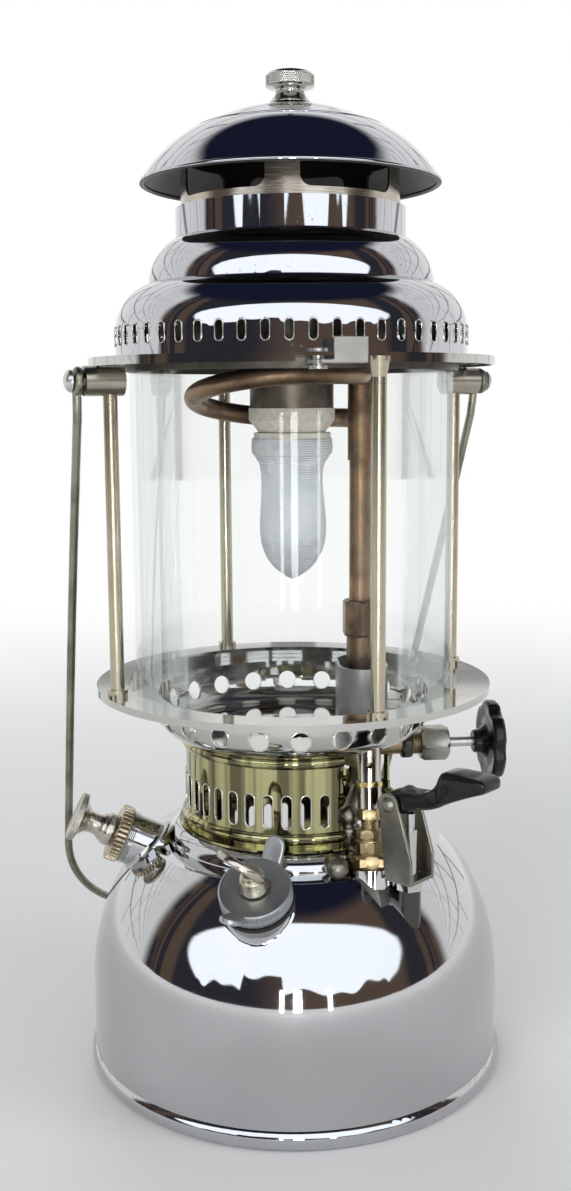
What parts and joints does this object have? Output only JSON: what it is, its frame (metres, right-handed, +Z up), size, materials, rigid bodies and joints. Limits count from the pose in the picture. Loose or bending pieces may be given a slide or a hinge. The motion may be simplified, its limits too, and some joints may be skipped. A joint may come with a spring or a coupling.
{
  "type": "pressure lantern",
  "caption": "Chromed pressurised paraffin mantle lantern with a glass globe, slotted hood, wire bail, hand pump and quick preheater.",
  "frame": {"origin": "centre of the base, on the ground", "axes": "+Z up along the lantern, +X along the axis that the bail hinges about, -Y towards the filler cap and the preheater"},
  "size_m": [0.188, 0.196, 0.4044],
  "materials": {
    "tank": "polished chrome",
    "pump_barrel": "drawn brass",
    "check_valve": "machined brass",
    "pump_cap": "worn knurled nickel over brass",
    "pickup_tube": "drawn brass",
    "riser_nut": "dulled brass",
    "riser": "dulled brass",
    "lower_casing": "polished nickel",
    "bowl": "polished chrome",
    "rod_right": "polished nickel",
    "rod_back": "polished nickel",
    "rod_left": "polished nickel",
    "rod_front": "polished nickel",
    "lug_right": "worn nickel",
    "lug_left": "worn nickel",
    "rivet_right": "plain steel",
    "rivet_left": "plain steel",
    "top_ring": "polished chrome",
    "globe_keeper": "heat-darkened steel",
    "catch_rivet": "plain steel",
    "globe": "clear heat-proof glass",
    "control_body": "dulled brass",
    "lock_nut": "darkened steel",
    "packing_nut": "dull nickel",
    "generator": "heat-browned brass",
    "generator_nut": "heat-browned brass",
    "jet_sleeve": "heat-browned brass",
    "fuel_loop": "heat-browned brass",
    "jet": "bright brass",
    "flame_sleeve": "nickelled steel",
    "preheater_base": "dulled brass",
    "torch_tube": "worn nickel",
    "torch_band": "bright brass",
    "valve_bracket": "dark plated steel",
    "valve_barrel": "polished nickel",
    "lever_pin": "plain steel",
    "bail": "dull plated wire",
    "inner_casing": "heat-darkened steel",
    "mixing_tube": "heat-darkened steel",
    "ceramic_nozzle": "fired clay",
    "mantle_ring": "fired clay",
    "mantle": "knitted white mantle",
    "hood_cover": "polished chrome",
    "hood_chimney": "brushed nickel",
    "hood_cap": "polished chrome",
    "top_knob": "knurled chrome",
    "knob_stud": "plain steel",
    "hood_catch": "plated steel",
    "pump_knob": "worn nickel",
    "pump_rod": "bright steel",
    "pump_leather": "oiled leather",
    "filler_gasket": "black fuel-proof rubber",
    "filler_cap": "dull nickel over brass",
    "filler_plug": "machined brass",
    "vent_screw": "dull nickel over brass",
    "hand_wheel": "black moulded plastic",
    "spindle": "bright steel",
    "needle": "plain steel",
    "preheater_lever": "black moulded plastic",
    "plunger": "plain steel"
  },
  "bodies": {
    "frame": {"tank": "tank", "pump_barrel": "pump_barrel", "check_valve": "check_valve", "pump_cap": "pump_cap", "pickup_tube": "pickup_tube", "riser_nut": "riser_nut", "riser": "riser", "lower_casing": "lower_casing", "bowl": "bowl", "rod_right": "rod_right", "rod_back": "rod_back", "rod_left": "rod_left", "rod_front": "rod_front", "lug_right": "lug_right", "lug_left": "lug_left", "rivet_right": "rivet_right", "rivet_left": "rivet_left", "top_ring": "top_ring", "globe_keeper": "globe_keeper", "catch_rivet": "catch_rivet", "globe": "globe", "control_body": "control_body", "lock_nut": "lock_nut", "packing_nut": "packing_nut", "generator": "generator", "generator_nut": "generator_nut", "jet_sleeve": "jet_sleeve", "fuel_loop": "fuel_loop", "jet": "jet", "flame_sleeve": "flame_sleeve", "preheater_base": "preheater_base", "torch_tube": "torch_tube", "torch_band": "torch_band", "valve_bracket": "valve_bracket", "valve_barrel": "valve_barrel", "lever_pin": "lever_pin"},
    "bail": {"bail": "bail"},
    "burner": {"inner_casing": "inner_casing", "mixing_tube": "mixing_tube", "ceramic_nozzle": "ceramic_nozzle", "mantle_ring": "mantle_ring", "mantle": "mantle"},
    "hood": {"hood_cover": "hood_cover", "hood_chimney": "hood_chimney", "hood_cap": "hood_cap"},
    "knob": {"top_knob": "top_knob", "knob_stud": "knob_stud"},
    "catch": {"hood_catch": "hood_catch"},
    "pump": {"pump_knob": "pump_knob", "pump_rod": "pump_rod", "pump_leather": "pump_leather"},
    "filler_seal": {"filler_gasket": "filler_gasket"},
    "filler": {"filler_cap": "filler_cap", "filler_plug": "filler_plug"},
    "vent": {"vent_screw": "vent_screw"},
    "control": {"hand_wheel": "hand_wheel", "spindle": "spindle"},
    "needle": {"needle": "needle"},
    "lever": {"preheater_lever": "preheater_lever"},
    "plunger": {"plunger": "plunger"}
  },
  "joints": [
    {"name": "bail_swing", "type": "hinge", "parent": "frame", "child": "bail", "pos_m": [0, 0, 0.2852], "axis": [1, 0, 0], "range_deg": [0, 235]},
    {"name": "burner_lift", "type": "slide", "parent": "frame", "child": "burner", "axis": [0, 0, 1], "range_m": [0, 0.11]},
    {"name": "hood_lift", "type": "slide", "parent": "burner", "child": "hood", "axis": [0, 0, 1], "range_m": [0, 0.11]},
    {"name": "knob_turn", "type": "hinge", "parent": "hood", "child": "knob", "pos_m": [0, 0, 0.3919], "axis": [0, 0, 1], "continuous": true},
    {"name": "catch_swivel", "type": "hinge", "parent": "frame", "child": "catch", "pos_m": [-0.02222, -0.07268, 0.2929], "axis": [0, 0, 1], "range_deg": [-30, 0]},
    {"name": "pump_slide", "type": "slide", "parent": "frame", "child": "pump", "axis": [-0.8667, 0.265, 0.4226], "range_m": [0, 0.055]},
    {"name": "filler_lift", "type": "slide", "parent": "frame", "child": "filler_seal", "axis": [-0.3178, -0.4423, 0.8387], "range_m": [0, 0.03]},
    {"name": "filler_turn", "type": "hinge", "parent": "filler_seal", "child": "filler", "pos_m": [-0.03939, -0.05482, 0.08903], "axis": [-0.3178, -0.4423, 0.8387], "continuous": true},
    {"name": "vent_turn", "type": "hinge", "parent": "filler", "child": "vent", "pos_m": [-0.03939, -0.05482, 0.08903], "axis": [-0.3178, -0.4423, 0.8387], "range_deg": [0, 270]},
    {"name": "control_turn", "type": "hinge", "parent": "frame", "child": "control", "pos_m": [0.07323, -0.02379, 0.1326], "axis": [0.9511, -0.309, 0], "range_deg": [0, 180]},
    {"name": "needle_lift", "type": "slide", "parent": "frame", "child": "needle", "axis": [0, 0, 1], "range_m": [0, 0.003]},
    {"name": "lever_tilt", "type": "hinge", "parent": "frame", "child": "lever", "pos_m": [0.01567, -0.06463, 0.1255], "axis": [0.9135, 0.4067, 0], "range_deg": [0, 20]},
    {"name": "plunger_press", "type": "slide", "parent": "frame", "child": "plunger", "axis": [0, 0, -1], "range_m": [0, 0.0022]}
  ],
  "couplings": [
    {"joint": "needle_lift", "follows": "control_turn", "m_per_rad": 0.00095493},
    {"joint": "plunger_press", "follows": "lever_tilt", "m_per_rad": 0.0063025}
  ]
}
